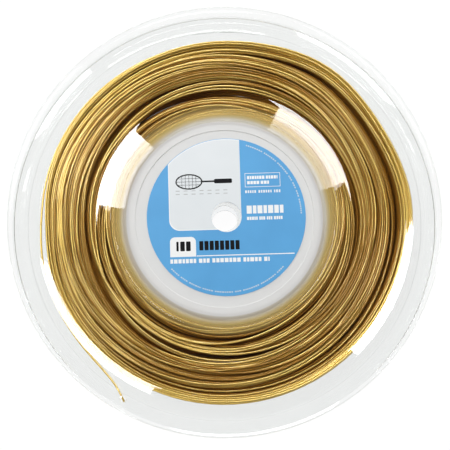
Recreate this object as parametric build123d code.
from build123d import *

import os
from math import atan2, cos, degrees, pi, radians, sin, tan

# Reel of racket string, lying flat on its back half. Millimetres, +Z up.
# The origin is on the spindle axis, at the level of the surface that the reel rests on.
# Sections are drawn as (radius, height above the middle plane between the two halves).

# ---- driving dimensions -------------------------------------------------------------------
RIM_RADIUS = 135.0           # outside of both flanges
WALL = 1.5                   # clear plastic wall
INSIDE_WIDTH = 14.0          # between the flat webs of the two flanges
HUB_RADIUS = 61.0            # drum that the string is wound on
HUB_WALL = 1.7
BORE_RADIUS = 8.0            # spindle hole through the hub disc of each half
LABEL_RECESS_RADIUS = 55.4
LABEL_RECESS_DEPTH = 0.6

SHOULDER_INNER_RADIUS = 62.0     # the shoulder slopes down from the hub face ...
SHOULDER_OUTER_RADIUS = 80.5     # ... to the flat web
SHOULDER_RISE = 3.6
HUB_FILLET_START_RADIUS = 71.0   # the inside of the flange rounds into the drum from here

FLARE_INNER_RADIUS = 109.5       # the web flares outwards to the rim band
FLARE_OUTER_RADIUS = 118.0
FLARE_RISE = 2.4
STEP_RADIUS = 124.6              # the rim band thickens at this circle
STEP_HEIGHT = 0.4
BEAD_WIDTH = 1.9                 # rounded bead along the rim

SPIGOT_LENGTH = 4.0              # ring of the front half that plugs into the back half
SPIGOT_WALL = 0.8
FIT_GAP = 0.05                   # radial play of the spigot and the pegs
PEG_RADIUS = 3.0
PEG_CIRCLE_RADIUS = 34.0
PEG_COUNT = 4
PEG_DEPTH = 5.0                  # how far a peg reaches past the middle plane
SOCKET_WALL = 1.8

LABEL_RADIUS = 49.3
LABEL_HOLE_RADIUS = 9.5
LABEL_THICKNESS = 0.15
LABEL_CENTRE = (1.1, 0.9)        # the label is stuck on by hand, a little off the axis

STRING_DIAMETER = 1.3
WINDING_RADIUS = 115.4
WINDING_CLEARANCE = 0.1
WINDING_EDGE_ROUNDING = 3.0

TAIL_HOLE_RADIUS = 1.7           # hole in the front rim band that the string's end is tucked in
TAIL_HOLE_CENTRE = (-61.9, -111.6)

# The tail's route: corner points of its straight runs, heights above the middle plane.
TAIL_ROUTE = [
    (-114.8, -4.0, 4.0),
    (-114.7, -17.2, 4.3),
    (-112.3, -32.2, 4.1),
    (-107.1, -47.7, 4.4),
    (-99.7, -62.3, 4.9),
    (-91.0, -75.1, 4.6),
    (-81.6, -86.0, 4.8),
    (-73.5, -94.7, 5.0),
    (-67.7, -101.7, 5.2),
    (-65.0, -106.2, 5.5),
    (-62.8, -110.0, 7.85),
    (-61.3, -112.6, 12.0),
]

# ---- derived dimensions -------------------------------------------------------------------
WEB_INNER = INSIDE_WIDTH / 2
WEB_OUTER = WEB_INNER + WALL
HUB_FACE = WEB_OUTER + SHOULDER_RISE
RECESS_FLOOR = HUB_FACE - LABEL_RECESS_DEPTH
HUB_DISC_INNER = RECESS_FLOOR - WALL
BAND_INNER = WEB_INNER + FLARE_RISE
BAND_OUTER = WEB_OUTER + FLARE_RISE
STEP_TOP = BAND_OUTER + STEP_HEIGHT
MID_HEIGHT = HUB_FACE            # the middle plane's height above the resting surface
DRUM_INNER_RADIUS = HUB_RADIUS - HUB_WALL

SHOULDER_SLOPE = atan2(SHOULDER_RISE, SHOULDER_OUTER_RADIUS - SHOULDER_INNER_RADIUS)
HUB_FILLET_RADIUS = (HUB_FILLET_START_RADIUS - HUB_RADIUS) / (1 + sin(SHOULDER_SLOPE))
FILLET_CENTRE_RADIUS = HUB_RADIUS + HUB_FILLET_RADIUS
FILLET_START_HEIGHT = WEB_INNER + (SHOULDER_OUTER_RADIUS - HUB_FILLET_START_RADIUS) * tan(SHOULDER_SLOPE)
FILLET_CENTRE_HEIGHT = FILLET_START_HEIGHT - HUB_FILLET_RADIUS * cos(SHOULDER_SLOPE)


def fillet_point(angle, radius):
    """Point on the rounding between drum and flange; angle 0 points to the drum, 90 to the flange."""
    return (
        FILLET_CENTRE_RADIUS - radius * cos(radians(angle)),
        FILLET_CENTRE_HEIGHT + radius * sin(radians(angle)),
    )


def hub_fillet(radius):
    """Arc that rounds the drum into the underside of the shoulder, from the flange to the drum."""
    end_angle = 90 + degrees(SHOULDER_SLOPE)
    return ThreePointArc(
        fillet_point(end_angle, radius),
        fillet_point(end_angle / 2, radius),
        fillet_point(0, radius),
    )


def rim_profile():
    """Flange from the hub face out to the rim and back along its inside to the hub fillet."""
    bead_start = RIM_RADIUS - BEAD_WIDTH
    lip = WALL / 2
    outside = Polyline(
        (SHOULDER_INNER_RADIUS, HUB_FACE),
        (SHOULDER_OUTER_RADIUS, WEB_OUTER),
        (FLARE_INNER_RADIUS, WEB_OUTER),
        (FLARE_OUTER_RADIUS, BAND_OUTER),
        (STEP_RADIUS, BAND_OUTER),
        (STEP_RADIUS + STEP_HEIGHT / 2, STEP_TOP),
        (bead_start, STEP_TOP),
    )
    bead = ThreePointArc(
        (bead_start, STEP_TOP),
        (bead_start + BEAD_WIDTH / 2, HUB_FACE),
        (RIM_RADIUS, STEP_TOP),
    )
    edge = Line((RIM_RADIUS, STEP_TOP), (RIM_RADIUS, BAND_INNER + lip))
    lip_arc = RadiusArc((RIM_RADIUS, BAND_INNER + lip), (RIM_RADIUS - lip, BAND_INNER), lip)
    inside = Polyline(
        (RIM_RADIUS - lip, BAND_INNER),
        (FLARE_OUTER_RADIUS, BAND_INNER),
        (FLARE_INNER_RADIUS, WEB_INNER),
        (SHOULDER_OUTER_RADIUS, WEB_INNER),
        fillet_point(90 + degrees(SHOULDER_SLOPE), HUB_FILLET_RADIUS),
    )
    return [outside, bead, edge, lip_arc, inside, hub_fillet(HUB_FILLET_RADIUS)]


def half_reel_section(joint):
    """Closed section of one half; joint is the outline where the drum meets the other half."""
    lines = rim_profile()
    lines.append(Polyline((HUB_RADIUS, FILLET_CENTRE_HEIGHT), *joint, (DRUM_INNER_RADIUS, HUB_DISC_INNER)))
    hub = Polyline(
        (DRUM_INNER_RADIUS, HUB_DISC_INNER),
        (BORE_RADIUS, HUB_DISC_INNER),
        (BORE_RADIUS, RECESS_FLOOR),
        (LABEL_RECESS_RADIUS, RECESS_FLOOR),
        (LABEL_RECESS_RADIUS, HUB_FACE),
        (SHOULDER_INNER_RADIUS, HUB_FACE),
    )
    lines.append(hub)
    return make_face(lines)


def turned(section):
    """Solid of revolution of a (radius, height) section about the reel's axis."""
    return revolve(Plane.XZ * section, Axis.Z)


def peg_places():
    """The four places of the pegs and their sockets, around the axis."""
    return PolarLocations(PEG_CIRCLE_RADIUS, PEG_COUNT, start_angle=45)


def make_front_half():
    """Front moulding: flange, hub disc, half the drum with its spigot, and the pegs."""
    spigot_radius = DRUM_INNER_RADIUS + SPIGOT_WALL
    joint = [
        (HUB_RADIUS, 0),
        (spigot_radius, 0),
        (spigot_radius, -SPIGOT_LENGTH),
        (DRUM_INNER_RADIUS, -SPIGOT_LENGTH),
    ]
    half = turned(half_reel_section(joint))
    peg_height = HUB_DISC_INNER + PEG_DEPTH
    for place in peg_places():
        peg = Cylinder(PEG_RADIUS, peg_height, align=(Align.CENTER, Align.CENTER, Align.MIN))
        half += place * Pos(0, 0, -PEG_DEPTH) * peg
    tail_hole = Cylinder(TAIL_HOLE_RADIUS, 2 * HUB_FACE)
    half -= Pos(*TAIL_HOLE_CENTRE, BAND_OUTER) * tail_hole
    return Pos(0, 0, MID_HEIGHT) * half


def make_back_half():
    """Back moulding: as the front one, with a seat for the spigot and a socket for each peg."""
    seat_radius = DRUM_INNER_RADIUS + SPIGOT_WALL + FIT_GAP
    seat_depth = SPIGOT_LENGTH + FIT_GAP
    joint = [
        (HUB_RADIUS, 0),
        (seat_radius, 0),
        (seat_radius, seat_depth),
        (DRUM_INNER_RADIUS, seat_depth),
    ]
    half = turned(half_reel_section(joint))
    up = (Align.CENTER, Align.CENTER, Align.MIN)
    for place in peg_places():
        half += place * Cylinder(PEG_RADIUS + SOCKET_WALL, HUB_DISC_INNER, align=up)
    for place in peg_places():
        half -= place * Cylinder(PEG_RADIUS + FIT_GAP, PEG_DEPTH + 1, align=up)
    return Pos(0, 0, MID_HEIGHT) * mirror(half, about=Plane.XY)


def make_front_label():
    """Round sticker in the front recess, with a hole that clears the spindle hole."""
    ring = Circle(LABEL_RADIUS) - Circle(LABEL_HOLE_RADIUS)
    return Pos(*LABEL_CENTRE, MID_HEIGHT + RECESS_FLOOR) * extrude(ring, LABEL_THICKNESS)


def winding_half_section():
    """Upper half of the wound string's section, which fills the space between the flanges."""
    gap = WINDING_CLEARANCE
    flare_slope = FLARE_RISE / (FLARE_OUTER_RADIUS - FLARE_INNER_RADIUS)
    corner_radius = WINDING_RADIUS - WINDING_EDGE_ROUNDING
    corner_height = WEB_INNER - gap + (corner_radius - FLARE_INNER_RADIUS) * flare_slope
    side = Polyline(
        fillet_point(90 + degrees(SHOULDER_SLOPE), HUB_FILLET_RADIUS - gap),
        (SHOULDER_OUTER_RADIUS, WEB_INNER - gap),
        (FLARE_INNER_RADIUS, WEB_INNER - gap),
        (corner_radius, corner_height),
    )
    rounding = RadiusArc(
        (corner_radius, corner_height),
        (WINDING_RADIUS, corner_height - WINDING_EDGE_ROUNDING),
        WINDING_EDGE_ROUNDING,
    )
    ends = Polyline(
        (WINDING_RADIUS, corner_height - WINDING_EDGE_ROUNDING),
        (WINDING_RADIUS, 0),
        (HUB_RADIUS + gap, 0),
        (HUB_RADIUS + gap, FILLET_CENTRE_HEIGHT),
    )
    return make_face([hub_fillet(HUB_FILLET_RADIUS - gap), side, rounding, ends])


def make_winding(tail_room):
    """The wound string's outer shape, with a groove where its outer end leaves it."""
    upper = turned(winding_half_section())
    ring = upper + mirror(upper, about=Plane.XY)
    return Pos(0, 0, MID_HEIGHT) * ring - tail_room


def tail_radii(points):
    """One bend radius for each corner: 0.45 of the shorter run over the tangent of half the turn."""
    radii = []
    for before, corner, after in zip(points, points[1:], points[2:]):
        first = corner - before
        second = after - corner
        half_turn = radians(first.get_angle(second)) / 2
        radii.append(0.45 * min(first.length, second.length) / tan(half_turn))
    return radii


def make_tail(radius):
    """Free outer end of the string: straight runs joined by arcs, up through the rim band's hole."""
    points = [Vector(x, y, z + MID_HEIGHT) for x, y, z in TAIL_ROUTE]
    path = FilletPolyline(*points, radius=tail_radii(points))
    start = Plane(origin=points[0], z_dir=points[1] - points[0])
    return sweep(start * Circle(radius), path=path), path


def print_tail_facts(tail, path):
    """Bend radii, and the tube's volume against its section times its length."""
    points = [Vector(*p) for p in TAIL_ROUTE]
    print("tail bend radii, mm:", [round(r, 1) for r in tail_radii(points)])
    expected = pi * (STRING_DIAMETER / 2) ** 2 * path.length
    print(f"tail length {path.length:.1f} mm, volume {tail.volume:.1f} of {expected:.1f} mm3")


def print_string_facts():
    """Length of string that the winding's section holds, for the usual loose packing."""
    packing = 0.625
    section = 2 * turned(winding_half_section()).volume
    length = section * packing / (pi * (STRING_DIAMETER / 2) ** 2)
    print(f"winding space {section / 1000:.1f} cm3 holds {length / 1000:.0f} m of string")


def main():
    os.makedirs("parts", exist_ok=True)
    tail, path = make_tail(STRING_DIAMETER / 2)
    tail_room, _ = make_tail(STRING_DIAMETER / 2 + WINDING_CLEARANCE)
    pieces = {
        "front_half": make_front_half(),
        "back_half": make_back_half(),
        "front_label": make_front_label(),
        "string_winding": make_winding(tail_room),
        "string_tail": tail,
    }
    for name, piece in pieces.items():
        export_step(piece, f"parts/{name}.step")
    print_tail_facts(tail, path)
    print_string_facts()


main()
